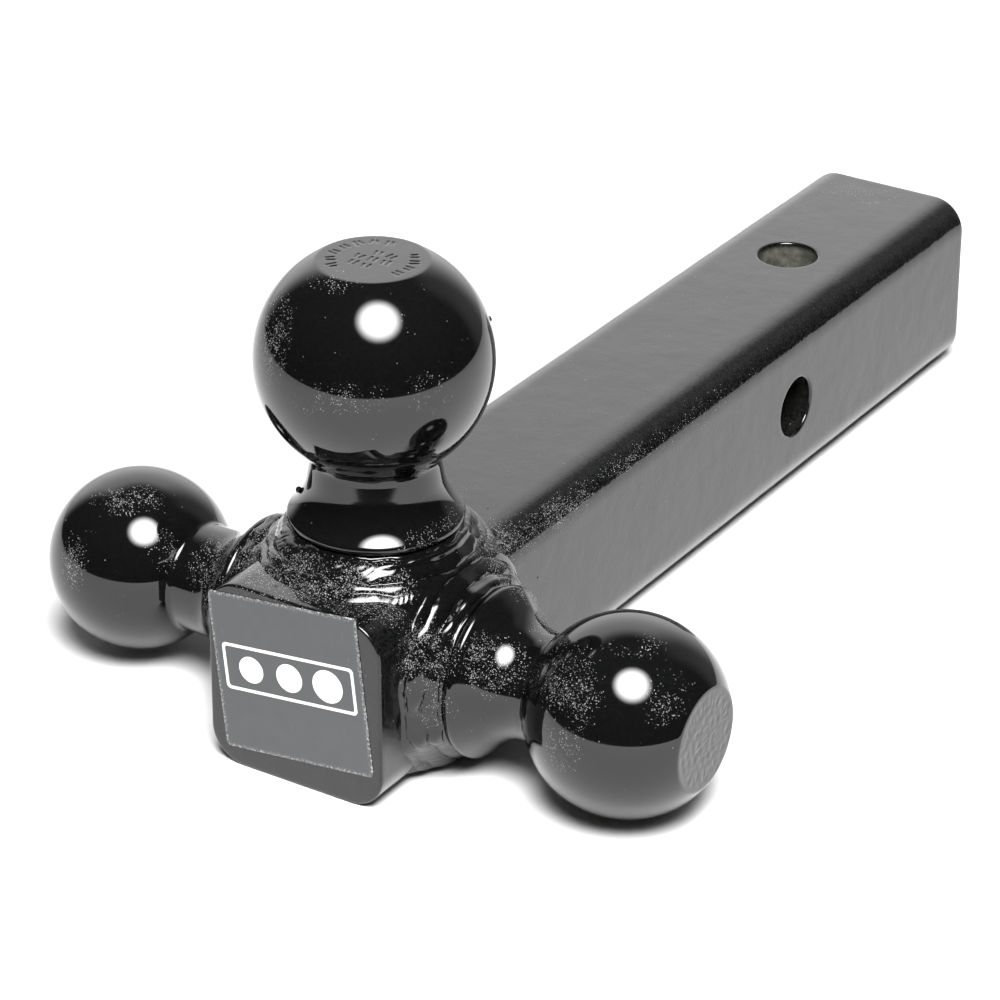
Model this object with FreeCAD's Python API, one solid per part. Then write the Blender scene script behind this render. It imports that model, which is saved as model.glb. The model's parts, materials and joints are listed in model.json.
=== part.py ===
import FreeCAD, Part
import math
import os

# Three-ball trailer hitch mount: a solid square shank with three forged tow balls welded
# round its front end, and a printed film label on the front end face. Millimetres.
#
# Frame: the origin is the centre of the side pin hole, on the shank's axis. +Y runs along
# the shank towards the towing vehicle, +X is the right-hand side, and +Z is up.

# Shank: 2 in solid bar with rounded long edges.
SHANK_WIDTH = 50.8
SHANK_LENGTH = 304.8
SHANK_CORNER_R = 9.525
SHANK_END_CHAMFER = 0.8

# Hitch pin holes for a 5/8 in pin, one through the sides and one from top to bottom.
PIN_HOLE_R = 8.35
PIN_HOLE_CHAMFER = 0.7
SIDE_HOLE_TO_REAR = 100.0
TOP_HOLE_TO_REAR = 61.0

# The three ball axes meet on the shank's axis, this far behind its front end.
BALL_AXIS_TO_FRONT = 36.0

# One forging per ball: ball diameter, ball centre to shank axis, radius of the flat on the
# ball, radius of the neck under the ball and at its foot, the slope of its side, the concave
# radii where it meets the collar and the ball, radius of the weld toe on the shank, and the
# direction of the ball's axis.
BALLS = {
    "large": {
        "diameter": 58.74,
        "centre": 76.0,
        "flat_r": 13.8,
        "neck_r": 16.0,
        "foot_r": 16.9,
        "neck_draft_deg": 10.0,
        "collar_fillet": 16.2,
        "ball_fillet": 3.0,
        "toe_r": 30.6,
        "axis": FreeCAD.Vector(0, 0, 1),
    },
    "medium": {
        "diameter": 50.8,
        "centre": 72.6,
        "flat_r": 13.2,
        "neck_r": 13.9,
        "foot_r": 13.9,
        "neck_draft_deg": 0.0,
        "collar_fillet": 12.5,
        "ball_fillet": 2.0,
        "toe_r": 28.8,
        "axis": FreeCAD.Vector(1, 0, 0),
    },
    "small": {
        "diameter": 47.62,
        "centre": 73.6,
        "flat_r": 12.4,
        "neck_r": 14.1,
        "foot_r": 14.1,
        "neck_draft_deg": 0.0,
        "collar_fillet": 8.0,
        "ball_fillet": 2.0,
        "toe_r": 28.8,
        "axis": FreeCAD.Vector(-1, 0, 0),
    },
}
FLAT_EDGE_R = 0.8

# Collar of each forging: the radius of its rim, the height of the rim's rounding above the
# shank's axis, the radius of that rounding, the slope of the shoulder above it, and the
# radius of the land that bears on the shank's flat.
COLLAR_R = 22.0
COLLAR_HEIGHT = 34.7
COLLAR_ROUND = 1.5
SHOULDER_DEG = 45.0
LAND_R = 13.5

# Weld passes: the leg of the root pass on the shank, the place and depth of the valley
# between the two cap passes, the radius of the lip against the collar and its gap below the
# rim, the crown height of a bead, how far the metal runs down a rounded edge of the shank,
# and the level where the side welds stop above the bottom face.
ROOT_LEG_R = 20.6
VALLEY_FRACTION = 0.52
VALLEY_DEPTH = 0.5
LIP_R = 21.6
LIP_GAP = 0.35
BEAD_CROWN = 0.9
CORNER_RUN = 6.4
UNDERSIDE_Z = -23.3

# Film label on the front end face, turned a little as it was stuck on.
LABEL_WIDTH = 44.0
LABEL_HEIGHT = 42.6
LABEL_THICKNESS = 0.2
LABEL_CORNER_R = 1.2
LABEL_CENTRE_X = -1.0
LABEL_CENTRE_Z = 3.0
LABEL_TURN_DEG = -6.3

# White ink on the label: a rectangular border with three plain discs, one for each ball.
INK_THICKNESS = 0.05
INK_WIDTH = 39.0
INK_HEIGHT = 12.6
INK_LINE = 0.8
INK_CENTRE_Z = 1.4
INK_DISC_SPACING = 11.4
INK_DISC_SCALE = 0.075

HALF_WIDTH = SHANK_WIDTH / 2
REAR_Y = SIDE_HOLE_TO_REAR
FRONT_Y = REAR_Y - SHANK_LENGTH
BALL_AXIS_Y = FRONT_Y + BALL_AXIS_TO_FRONT
TOP_HOLE_Y = REAR_Y - TOP_HOLE_TO_REAR
BEVEL_TOP_R = COLLAR_R - COLLAR_ROUND
BEVEL_TOP_H = COLLAR_HEIGHT - COLLAR_ROUND
FULL_TURN = 360.0
HALF_TURN = 180.0
SMALL = 1e-6


def polar(centre, radius, degrees):
    """Point on a circle in the profile plane, where X is radius and Z is height."""
    turn = math.radians(degrees)
    return FreeCAD.Vector(centre.x + radius * math.cos(turn), 0, centre.z + radius * math.sin(turn))


def point(radius, height):
    """Point of a profile: distance from the ball's axis, and height above the shank's axis."""
    return FreeCAD.Vector(radius, 0, height)


def line(start, end):
    return Part.LineSegment(start, end).toShape()


def arc(start, middle, end):
    return Part.Arc(start, middle, end).toShape()


def turned_arc(centre, radius, start_deg, end_deg):
    """Arc about a centre, from one direction to another."""
    ends = [polar(centre, radius, degrees) for degrees in (start_deg, end_deg)]
    return arc(ends[0], polar(centre, radius, (start_deg + end_deg) / 2), ends[1])


def bulged(start, end, height):
    """Arc from start to end whose middle stands proud of the chord, to its left."""
    chord = end.sub(start)
    left = FreeCAD.Vector(-chord.z, 0, chord.x)
    left.normalize()
    middle = start.add(end).multiply(0.5).add(left.multiply(height))
    return arc(start, middle, end)


def revolved(edges):
    """Solid of revolution about Z from a closed profile in the XZ half-plane."""
    face = Part.Face(Part.Wire(edges))
    return face.revolve(FreeCAD.Vector(0, 0, 0), FreeCAD.Vector(0, 0, 1), FULL_TURN)


def placed(shape, axis):
    """Turn a solid made about Z onto a ball's axis, and move it to where the axes meet."""
    turned = shape.copy()
    rotation = FreeCAD.Rotation(FreeCAD.Vector(0, 0, 1), axis)
    turned.Placement = FreeCAD.Placement(FreeCAD.Vector(0, BALL_AXIS_Y, 0), rotation)
    return turned


def box(low, high):
    size = high.sub(low)
    return Part.makeBox(size.x, size.y, size.z, low)


def export(name, shape):
    if not shape.isValid():
        raise ValueError(name + " is not a valid solid")
    print(name, "solids", len(shape.Solids), "volume", round(shape.Volume, 1))
    shape.exportStep(os.path.join("parts", name + ".step"))


def pin_hole(axis, centre):
    """A pin hole through the shank with a chamfer at each mouth."""
    through = FreeCAD.Vector(axis).multiply(-SHANK_WIDTH).add(centre)
    hole = Part.makeCylinder(PIN_HOLE_R, 2 * SHANK_WIDTH, through, axis)
    mouth_r = PIN_HOLE_R + PIN_HOLE_CHAMFER
    for side in (-1, 1):
        outward = FreeCAD.Vector(axis).multiply(side)
        base = FreeCAD.Vector(outward).multiply(HALF_WIDTH - PIN_HOLE_CHAMFER).add(centre)
        mouth = Part.makeCone(PIN_HOLE_R, mouth_r, PIN_HOLE_CHAMFER, base, outward)
        hole = hole.fuse(mouth)
    return hole


def lies_at(edge, y):
    """True if an edge lies wholly in the plane across the shank at y."""
    return abs(edge.BoundBox.YMin - y) < SMALL and abs(edge.BoundBox.YMax - y) < SMALL


def shank_blank():
    """Square bar with rounded long edges and deburred ends."""
    low = FreeCAD.Vector(-HALF_WIDTH, FRONT_Y, -HALF_WIDTH)
    high = FreeCAD.Vector(HALF_WIDTH, REAR_Y, HALF_WIDTH)
    bar = box(low, high)
    long_edges = [edge for edge in bar.Edges if abs(edge.Length - SHANK_LENGTH) < SMALL]
    bar = bar.makeFillet(SHANK_CORNER_R, long_edges)
    end_edges = [edge for edge in bar.Edges if lies_at(edge, FRONT_Y) or lies_at(edge, REAR_Y)]
    return bar.makeChamfer(SHANK_END_CHAMFER, end_edges)


def shank_bar():
    side_hole = pin_hole(FreeCAD.Vector(1, 0, 0), FreeCAD.Vector(0, 0, 0))
    top_hole = pin_hole(FreeCAD.Vector(0, 0, 1), FreeCAD.Vector(0, TOP_HOLE_Y, 0))
    return shank_blank().cut([side_hole, top_hole])


def collar_edges(ball):
    """Land, weld bevel, rounded rim and hollow shoulder, up to the start of the neck."""
    rim = point(COLLAR_R - COLLAR_ROUND, COLLAR_HEIGHT)
    rim_low = polar(rim, COLLAR_ROUND, -HALF_TURN / 2)
    rim_high = polar(rim, COLLAR_ROUND, SHOULDER_DEG)
    fillet = ball["collar_fillet"]
    slope = math.radians(SHOULDER_DEG)
    draft = ball["neck_draft_deg"]
    cone_r = ball["foot_r"] + fillet * (math.cos(math.radians(draft)) - math.cos(slope))
    cone_end = point(cone_r, rim_high.z + (rim_high.x - cone_r) / math.tan(slope))
    hollow = cone_end.add(polar(point(0, 0), fillet, SHOULDER_DEG))
    land = point(LAND_R, HALF_WIDTH)
    edges = [
        line(point(0, HALF_WIDTH), land),
        line(land, rim_low),
        turned_arc(rim, COLLAR_ROUND, -HALF_TURN / 2, SHOULDER_DEG),
        line(rim_high, cone_end),
        turned_arc(hollow, fillet, HALF_TURN + SHOULDER_DEG, HALF_TURN + draft),
    ]
    return edges, polar(hollow, fillet, HALF_TURN + draft)


def forging(ball):
    """One ball with its neck and collar, about the Z axis."""
    edges, neck_start = collar_edges(ball)
    radius = ball["diameter"] / 2
    centre = point(0, ball["centre"])
    fillet = ball["ball_fillet"]
    reach_r = ball["neck_r"] + fillet
    reach_h = math.sqrt((radius + fillet) ** 2 - reach_r ** 2)
    hollow = point(reach_r, centre.z - reach_h)
    leave_deg = -math.degrees(math.atan2(reach_h, reach_r))
    flat_h = centre.z + math.sqrt(radius ** 2 - ball["flat_r"] ** 2)
    flat_deg = math.degrees(math.acos(ball["flat_r"] / radius))
    edges += [
        line(neck_start, polar(hollow, fillet, HALF_TURN)),
        turned_arc(hollow, fillet, HALF_TURN, HALF_TURN + leave_deg),
        turned_arc(centre, radius, leave_deg, flat_deg),
        line(polar(centre, radius, flat_deg), point(0, flat_h)),
        line(point(0, flat_h), point(0, HALF_WIDTH)),
    ]
    solid = revolved(edges)
    rounded = [edge for edge in solid.Edges
               if isinstance(edge.Curve, Part.Circle) and abs(edge.Curve.Center.z - flat_h) < SMALL]
    return solid.makeFillet(FLAT_EDGE_R, rounded)


def weld_sections(ball):
    """Closed profiles of the root pass, the toe cap pass and the collar cap pass.

    Each runs down past the shank's flat, so that its metal also fills the rounded edges."""
    toe = point(ball["toe_r"], HALF_WIDTH)
    lip = point(LIP_R, BEVEL_TOP_H - LIP_GAP)
    low_h = HALF_WIDTH - CORNER_RUN
    slope = (toe.x - lip.x) / (lip.z - toe.z)
    run_out = point(toe.x + CORNER_RUN * slope, low_h)
    valley = toe.add(lip.sub(toe).multiply(VALLEY_FRACTION))
    inward = FreeCAD.Vector(-1, 0, -slope)
    inward.normalize()
    valley = valley.add(inward.multiply(VALLEY_DEPTH))
    land = point(LAND_R, HALF_WIDTH)
    bevel_end = point(BEVEL_TOP_R, BEVEL_TOP_H)
    bevel_half = land.add(bevel_end).multiply(0.5)
    root_leg = point(ROOT_LEG_R, HALF_WIDTH)
    root_low = point(ROOT_LEG_R, low_h)
    root = [
        line(point(LAND_R, low_h), root_low),
        line(root_low, root_leg),
        bulged(root_leg, bevel_half, -BEAD_CROWN),
        line(bevel_half, land),
        line(land, point(LAND_R, low_h)),
    ]
    toe_cap = [
        line(root_low, run_out),
        line(run_out, toe),
        bulged(toe, valley, -BEAD_CROWN),
        line(valley, bevel_half),
        bulged(bevel_half, root_leg, BEAD_CROWN),
        line(root_leg, root_low),
    ]
    collar_cap = [
        line(bevel_half, valley),
        bulged(valley, lip, -BEAD_CROWN),
        line(lip, bevel_end),
        line(bevel_end, bevel_half),
    ]
    return {"root": root, "toe_cap": toe_cap, "collar_cap": collar_cap}


def wedge(axis):
    """Space nearer to one ball's axis than to its neighbours' at right angles to it.

    Weld metal round neighbouring balls meets on the diagonal planes of the shank."""
    reach = 2 * HALF_WIDTH
    outline = [(0, 0), (reach, reach), (-reach, reach), (0, 0)]
    corners = [FreeCAD.Vector(x, -reach, z) for x, z in outline]
    prism = Part.Face(Part.makePolygon(corners)).extrude(FreeCAD.Vector(0, 2 * reach, 0))
    return placed(prism, axis)


def weld_pass(section, ball, bar):
    """One pass round a collar, trimmed to the shank, its neighbours and the underside."""
    ring = placed(revolved(section), ball["axis"])
    above = box(FreeCAD.Vector(-2 * SHANK_WIDTH, FRONT_Y, UNDERSIDE_Z),
                FreeCAD.Vector(2 * SHANK_WIDTH, REAR_Y, 2 * SHANK_WIDTH))
    return ring.common(wedge(ball["axis"])).common(above).cut(bar)


def rounded_plate(width, height, corner_r, thickness):
    """Plate in the XZ plane about the origin, standing forward of it (towards -Y)."""
    plate = Part.makeBox(width, thickness, height, FreeCAD.Vector(-width / 2, -thickness, -height / 2))
    corners = [edge for edge in plate.Edges if abs(edge.Length - thickness) < SMALL]
    return plate.makeFillet(corner_r, corners)


def on_label(shape, forward):
    """Move a plate onto the front end face, turned with the label."""
    turned = shape.copy()
    turned.rotate(FreeCAD.Vector(0, 0, 0), FreeCAD.Vector(0, 1, 0), LABEL_TURN_DEG)
    turned.translate(FreeCAD.Vector(LABEL_CENTRE_X, FRONT_Y - forward, LABEL_CENTRE_Z))
    return turned


def label_film():
    return on_label(rounded_plate(LABEL_WIDTH, LABEL_HEIGHT, LABEL_CORNER_R, LABEL_THICKNESS), 0)


def label_ink():
    """Border and three discs, as separate areas of ink."""
    border = rounded_plate(INK_WIDTH, INK_HEIGHT, LABEL_CORNER_R, INK_THICKNESS)
    inner_r = LABEL_CORNER_R - INK_LINE / 2
    window = rounded_plate(INK_WIDTH - 2 * INK_LINE, INK_HEIGHT - 2 * INK_LINE, inner_r, INK_THICKNESS)
    areas = [border.cut(window)]
    for step, name in enumerate(("small", "medium", "large")):
        place = FreeCAD.Vector((step - 1) * INK_DISC_SPACING, 0, 0)
        disc_r = BALLS[name]["diameter"] * INK_DISC_SCALE
        areas.append(Part.makeCylinder(disc_r, INK_THICKNESS, place, FreeCAD.Vector(0, -1, 0)))
    for area in areas:
        area.translate(FreeCAD.Vector(0, 0, INK_CENTRE_Z))
    return on_label(Part.makeCompound(areas), LABEL_THICKNESS)


def main():
    os.makedirs("parts", exist_ok=True)
    bar = shank_bar()
    export("shank_bar", bar)
    for name, ball in BALLS.items():
        export(name + "_ball", placed(forging(ball), ball["axis"]))
        for which, section in weld_sections(ball).items():
            export(name + "_" + which + "_weld", weld_pass(section, ball, bar))
    export("label_film", label_film())
    export("label_ink", label_ink())


main()
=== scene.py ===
import json
import math

import bmesh
import bpy
import numpy as np
from mathutils import Matrix, Vector


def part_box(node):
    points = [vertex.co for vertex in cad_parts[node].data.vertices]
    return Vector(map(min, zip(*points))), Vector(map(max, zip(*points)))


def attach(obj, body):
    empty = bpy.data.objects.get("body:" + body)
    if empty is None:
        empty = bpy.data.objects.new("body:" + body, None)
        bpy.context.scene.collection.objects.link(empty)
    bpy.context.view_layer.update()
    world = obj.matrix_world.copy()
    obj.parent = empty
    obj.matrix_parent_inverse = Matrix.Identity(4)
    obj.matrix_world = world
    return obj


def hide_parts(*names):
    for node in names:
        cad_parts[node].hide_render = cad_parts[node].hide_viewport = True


# Three-ball trailer hitch mount: a solid square bar and three forged tow balls, welded
# together and painted gloss black. Lengths are millimetres until a mesh is made.

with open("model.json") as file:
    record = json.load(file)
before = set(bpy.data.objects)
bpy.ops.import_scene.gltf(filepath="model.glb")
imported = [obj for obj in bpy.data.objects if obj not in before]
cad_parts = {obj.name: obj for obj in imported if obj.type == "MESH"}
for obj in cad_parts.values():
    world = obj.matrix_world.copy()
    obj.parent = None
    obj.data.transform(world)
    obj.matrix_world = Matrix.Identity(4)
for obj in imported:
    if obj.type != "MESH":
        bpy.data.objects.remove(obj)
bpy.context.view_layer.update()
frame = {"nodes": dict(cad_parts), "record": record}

MM = 0.001
TURN = 2 * math.pi

mounts = {mount["name"]: mount for mount in frame["record"]["mounts"]}


def mm(vector):
    """A length or place of the frame, in millimetres."""
    return np.array(vector, float) / MM


# The bar: half its width, its ends, and the roundings of its long edges and of its ends.
bar_low, bar_high = (mm(corner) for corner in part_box("shank_bar"))
HALF = bar_high[0]
FRONT_Y = bar_low[1]
REAR_Y = bar_high[1]
BAR_ROUND = 9.525
BAR_FLAT = HALF - BAR_ROUND
END_ROUND = 0.8

PIN_R = mounts["pin_hole_side"]["dims"]["r_mm"]
MOUTH_ROUND = 0.8
SIDE_HOLE_Y = mm(mounts["pin_hole_side"]["pos_m"])[1]
TOP_HOLE_Y = mm(mounts["pin_hole_top"]["pos_m"])[1]

# Where the axes of the balls cross the bar's.
BALL_Y = mm(mounts["large_ball_coupler"]["pos_m"])[1]
CROSSING = np.array([0, BALL_Y, 0])

# Each forging: radii of its flat, of its neck and of the neck's foot, the neck's draft in
# degrees, fillets at the collar and under the ball, radius of the weld's toe on the bar, and
# depths of the strokes stamped in the flat and of its pitting.
BALLS = {
    "large": dict(flat_r=13.8, neck_r=16.0, foot_r=16.9, draft=10.0, collar_fillet=16.2,
                  ball_fillet=3.0, toe_r=30.6, stamp_depth=0.17, pitting=0.002),
    "medium": dict(flat_r=13.2, neck_r=13.9, foot_r=13.9, draft=0.0, collar_fillet=12.5,
                   ball_fillet=2.0, toe_r=28.8, stamp_depth=0.03, pitting=0.024),
    "small": dict(flat_r=12.4, neck_r=14.1, foot_r=14.1, draft=0.0, collar_fillet=8.0,
                  ball_fillet=2.0, toe_r=28.8, stamp_depth=0.10, pitting=0.012),
}
# What the forgings share. Heights are from the bar's axis, along the ball's axis.
COLLAR_R = 22.0
COLLAR_HEIGHT = 34.7
COLLAR_ROUND = 1.5
LAND_R = 13.5

for name, ball in BALLS.items():
    mount = mounts[name + "_ball_coupler"]
    low, high = (mm(corner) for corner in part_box(name + "_ball"))
    ball["axis"] = np.array(mount["axis"], float)
    ball["centre"] = abs(mm(mount["pos_m"]) @ ball["axis"])
    ball["radius"] = (high[1] - low[1]) / 2


# ------------------------ numbers and noise

WAVE_COUNT = 28


def waves(points, wavelength, seed):
    """Smooth random field of unit spread whose features have about one wavelength."""
    draw = np.random.default_rng(seed)
    ways = draw.normal(size=(WAVE_COUNT, 3))
    ways /= np.linalg.norm(ways, axis=1)[:, None]
    ways *= TURN / wavelength * draw.uniform(0.7, 1.35, (WAVE_COUNT, 1))
    phase = draw.uniform(0, TURN, WAVE_COUNT)
    total = np.zeros(len(points))
    for way, shift in zip(ways, phase):
        total += np.cos(points @ way + shift)
    return total * math.sqrt(2 / WAVE_COUNT)


def step(value, low, high):
    """0 below low, 1 above high, smooth between."""
    t = np.clip((value - low) / (high - low), 0, 1)
    return t * t * (3 - 2 * t)


def blob(points, centre, radii):
    """1 near a centre, fading to 0 at its radius along each axis."""
    away = (points - np.array(centre, float)) / np.array(radii, float)
    return 1 - step(np.sqrt((away ** 2).sum(axis=1)), 0.25, 1.0)


# ------------------------ meshes

MERGE_GRID = 1e-4


class Sheets:
    """Grids of points that become one closed mesh: shared edges are merged."""

    def __init__(self):
        self.points = []
        self.faces = []
        self.count = 0

    def add(self, grid, closed=False):
        """grid is rows x columns x 3. closed joins the last column to the first."""
        rows, columns = grid.shape[:2]
        index = self.count + np.arange(rows * columns).reshape(rows, columns)
        if closed:
            index = np.hstack([index, index[:, :1]])
        quads = np.stack([index[:-1, :-1], index[:-1, 1:], index[1:, 1:], index[1:, :-1]], axis=-1)
        self.points.append(grid.reshape(-1, 3))
        self.faces.append(quads.reshape(-1, 4))
        self.count += rows * columns

    def merged(self):
        """Unique points, and faces with repeated corners dropped."""
        points = np.concatenate(self.points)
        keys = np.round(points / MERGE_GRID).astype(np.int64)
        _, first, back = np.unique(keys, axis=0, return_index=True, return_inverse=True)
        faces = back.reshape(-1)[np.concatenate(self.faces)]
        kept = []
        for face in faces.tolist():
            corners = list(dict.fromkeys(face))
            if len(corners) > 2:
                kept.append(corners)
        return points[first], kept


def make_piece(name, points, faces, material, masks=None):
    """A smooth-shaded mesh from millimetre points, with masks as point attributes."""
    mesh = bpy.data.meshes.new(name)
    mesh.from_pydata((np.asarray(points) * MM).tolist(), [], faces)
    mesh.polygons.foreach_set("use_smooth", [True] * len(mesh.polygons))
    for mask_name, values in (masks or {}).items():
        layer = mesh.attributes.new(mask_name, "FLOAT", "POINT")
        layer.data.foreach_set("value", np.asarray(values, np.float32))
    mesh.materials.append(material)
    piece = bpy.data.objects.new(name, mesh)
    bpy.context.scene.collection.objects.link(piece)
    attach(piece, "root")
    return piece


def vertex_normals(points, faces):
    """Area-weighted normals at points of a polygon mesh."""
    total = np.zeros_like(points)
    for size in (3, 4):
        group = np.array([face for face in faces if len(face) == size], int).reshape(-1, size)
        if len(group):
            one, two, three = points[group[:, 0]], points[group[:, 1]], points[group[:, 2]]
            last = points[group[:, -1]]
            across = np.cross(two - one, three - one)
            if size == 4:
                across = across + np.cross(three - one, last - one)
            for corner in range(size):
                np.add.at(total, group[:, corner], across)
    return total / np.maximum(np.linalg.norm(total, axis=1), 1e-12)[:, None]


# ------------------------ materials

class Nodes:
    """Writes a node tree as nested calls. The mix node's sockets repeat their names for each
    data type, so they are given by number."""

    def __init__(self, tree):
        self.tree = tree

    def new(self, kind, inputs=None, **settings):
        node = self.tree.nodes.new(kind)
        for key, value in settings.items():
            setattr(node, key, value)
        for key, value in (inputs or {}).items():
            self.feed(node.inputs[key], value)
        return node

    def feed(self, socket, value):
        if isinstance(value, bpy.types.NodeSocket):
            self.tree.links.new(value, socket)
        else:
            socket.default_value = value

    def math(self, operation, one, two=0.0, clamp=False):
        node = self.new("ShaderNodeMath", {0: one, 1: two}, operation=operation, use_clamp=clamp)
        return node.outputs[0]

    def scaled(self, vector, factors):
        node = self.new("ShaderNodeVectorMath", {0: vector, 1: factors}, operation="MULTIPLY")
        return node.outputs[0]

    def noise(self, vector, scale, detail=2.0, rough=0.5):
        node = self.new("ShaderNodeTexNoise",
                        {"Vector": vector, "Scale": scale, "Detail": detail, "Roughness": rough})
        return node.outputs["Fac"]

    def ramp(self, value, low, high, start=0.0, end=1.0):
        node = self.new("ShaderNodeMapRange",
                        {"Value": value, "From Min": low, "From Max": high,
                         "To Min": start, "To Max": end}, interpolation_type="SMOOTHSTEP")
        return node.outputs["Result"]

    def mix(self, factor, one, two):
        node = self.new("ShaderNodeMix", {0: factor, 6: one, 7: two}, data_type="RGBA")
        return node.outputs[2]

    def blend(self, factor, one, two):
        node = self.new("ShaderNodeMix", {0: factor, 2: one, 3: two}, data_type="FLOAT")
        return node.outputs[0]

    def mask(self, name):
        return self.new("ShaderNodeAttribute", attribute_name=name).outputs["Fac"]

    def bump(self, height, distance, normal=None):
        inputs = {"Strength": 1.0, "Distance": distance, "Height": height}
        if normal is not None:
            inputs["Normal"] = normal
        return self.new("ShaderNodeBump", inputs).outputs["Normal"]

    def finish(self, kind, shader):
        """Link a shader to a new output node of a kind."""
        self.tree.links.new(shader.outputs[0], self.new(kind).inputs[0])

    def coat(self, colour, rough, normal):
        """End a material with a non-metal surface."""
        self.finish("ShaderNodeOutputMaterial", self.new("ShaderNodeBsdfPrincipled", {
            "Base Color": colour, "Roughness": rough, "Normal": normal, "IOR": COAT_IOR}))


def empty_nodes(owner):
    """Node tree of a material, light or world, with nothing in it yet."""
    owner.use_nodes = True
    owner.node_tree.nodes.clear()
    return Nodes(owner.node_tree)


def new_material(name):
    material = bpy.data.materials.new(name)
    return material, empty_nodes(material)


def grey(value, warm=0.0):
    return (value * (1 + warm), value, value * (1 - warm), 1.0)


COAT_IOR = 1.5
WHITE = (1.0, 1.0, 1.0, 1.0)
BORE_TINT = (1.0, 1.0, 0.82, 1.0)
DUST_COLOUR = grey(0.24, 0.01)

# Grains of dust and of coarser crumbs in a metre.
GRAINS_PER_METRE = 3700.0
CRUMBS_PER_METRE = 2600.0


def flecks(n, where, per_metre, cover):
    """Round pale grains of uneven brightness, over about a share of the surface."""
    cells = n.new("ShaderNodeTexVoronoi",
                  {"Vector": where, "Scale": per_metre, "Randomness": 1.0}, feature="F1")
    draw = n.new("ShaderNodeSeparateColor", {"Color": cells.outputs["Color"]})
    chance, tone = draw.outputs[0], draw.outputs[1]
    share = n.math("MULTIPLY", n.math("SUBTRACT", cover, 0.05), 0.85)
    lit = n.math("LESS_THAN", chance, share)
    grain = n.ramp(cells.outputs["Distance"], 0.42, 0.54, 1.0, 0.0)
    bright = n.math("POWER", n.ramp(tone, 0.0, 1.0, 0.3, 1.0), 2.2)
    return n.math("MULTIPLY", n.math("MULTIPLY", lit, grain), bright)


def black_paint(name, base, grit, gloss, haze, peel, peel_scale):
    """Gloss black coat with specks, orange peel, smudges and grains of pale dust.

    grit is how far the specks differ from the base grey, gloss and haze are the roughness of
    clean paint and what smudges add, and peel is the orange peel's height in metres."""
    material, n = new_material(name)
    where = n.new("ShaderNodeTexCoord").outputs["Object"]
    dust = n.mask("dust")

    smudge = n.noise(where, 55.0, 3.0)
    fine = n.noise(where, 900.0, 2.0)
    rough = n.math("ADD", gloss, n.math("MULTIPLY", n.ramp(smudge, 0.42, 0.72), haze))
    rough = n.math("ADD", rough, n.math("MULTIPLY", fine, 0.03))

    clumps = n.ramp(n.noise(where, 480.0, 3.0, 0.7), 0.30, 0.66, 0.45, 1.1)
    thick = n.math("MULTIPLY", dust, clumps)
    grains = flecks(n, where, GRAINS_PER_METRE, thick)
    crumbs = flecks(n, where, CRUMBS_PER_METRE, n.math("MULTIPLY", thick, 0.25))
    veil = n.ramp(n.noise(where, 420.0, 4.0, 0.7), 0.5, 0.8)
    film = n.math("MULTIPLY", veil, n.math("MULTIPLY", dust, 0.06))
    cover = n.math("MAXIMUM", grains, crumbs)
    cover = n.math("MAXIMUM", cover, film, clamp=True)

    dull = n.mask("bore")
    mottled = n.ramp(n.noise(where, 260.0, 3.0, 0.6), 0.35, 0.7, 0.05, 0.13)
    specks = n.ramp(n.noise(where, 1500.0, 3.0, 0.7), 0.36, 0.64)
    paint = n.mix(specks, grey(base * (1 - grit), -0.03), grey(base * (1 + grit), -0.03))
    colour = n.mix(n.math("MULTIPLY", dull, mottled), paint, BORE_TINT)
    colour = n.mix(cover, colour, DUST_COLOUR)
    rough = n.blend(cover, n.blend(dull, rough, 0.45), 0.55)

    peel_height = n.noise(where, peel_scale, 1.5, 0.45)
    normal = n.bump(peel_height, peel)
    normal = n.bump(n.noise(where, 140.0, 1.0), peel * 3.0, normal)
    normal = n.bump(cover, 0.00002, normal)
    n.coat(colour, rough, normal)
    return material


BAR_PAINT = black_paint("bar_paint", base=0.0042, grit=0.95, gloss=0.070, haze=0.04,
                        peel=0.0000320, peel_scale=1100.0)
BALL_PAINT = black_paint("ball_paint", base=0.0026, grit=0.25, gloss=0.035, haze=0.03,
                         peel=0.0000008, peel_scale=600.0)
WELD_PAINT = black_paint("weld_paint", base=0.0025, grit=0.35, gloss=0.045, haze=0.04,
                         peel=0.0000016, peel_scale=700.0)


def film_material():
    """Dark satin film, scratched, and worn pale along its edge."""
    material, n = new_material("label_film_satin")
    where = n.new("ShaderNodeTexCoord").outputs["Object"]
    edge = n.mask("edge")
    mottled = n.noise(where, 220.0, 3.0)
    hair = n.noise(n.scaled(where, (1.0, 1.0, 0.06)), 2600.0, 2.0)
    scuff = n.math("MULTIPLY", n.ramp(n.noise(where, 1600.0, 4.0, 0.75), 0.46, 0.64), edge)
    scratch = n.math("MULTIPLY", n.ramp(hair, 0.70, 0.80), 0.25)
    worn = n.math("MAXIMUM", scuff, scratch, clamp=True)
    colour = n.mix(mottled, grey(0.040, -0.04), grey(0.055, -0.04))
    colour = n.mix(worn, colour, grey(0.42))
    rough = n.blend(worn, n.ramp(mottled, 0.2, 0.8, 0.28, 0.40), 0.7)
    normal = n.bump(mottled, 0.00004)
    normal = n.bump(n.noise(where, 1500.0, 2.0), 0.000004, normal)
    n.coat(colour, rough, normal)
    return material


def ink_material():
    """Matte white ink, thin in places."""
    material, n = new_material("label_ink_matte")
    where = n.new("ShaderNodeTexCoord").outputs["Object"]
    thin = n.ramp(n.noise(where, 1800.0, 4.0, 0.7), 0.58, 0.75)
    colour = n.mix(n.math("MULTIPLY", thin, 0.5), grey(0.85, 0.005), grey(0.30))
    rough = n.ramp(n.noise(where, 700.0), 0.3, 0.7, 0.45, 0.6)
    normal = n.bump(n.noise(where, 2500.0, 2.0), 0.000006)
    n.coat(colour, rough, normal)
    return material


FILM = film_material()
INK = ink_material()


# ------------------------ dust

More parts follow.
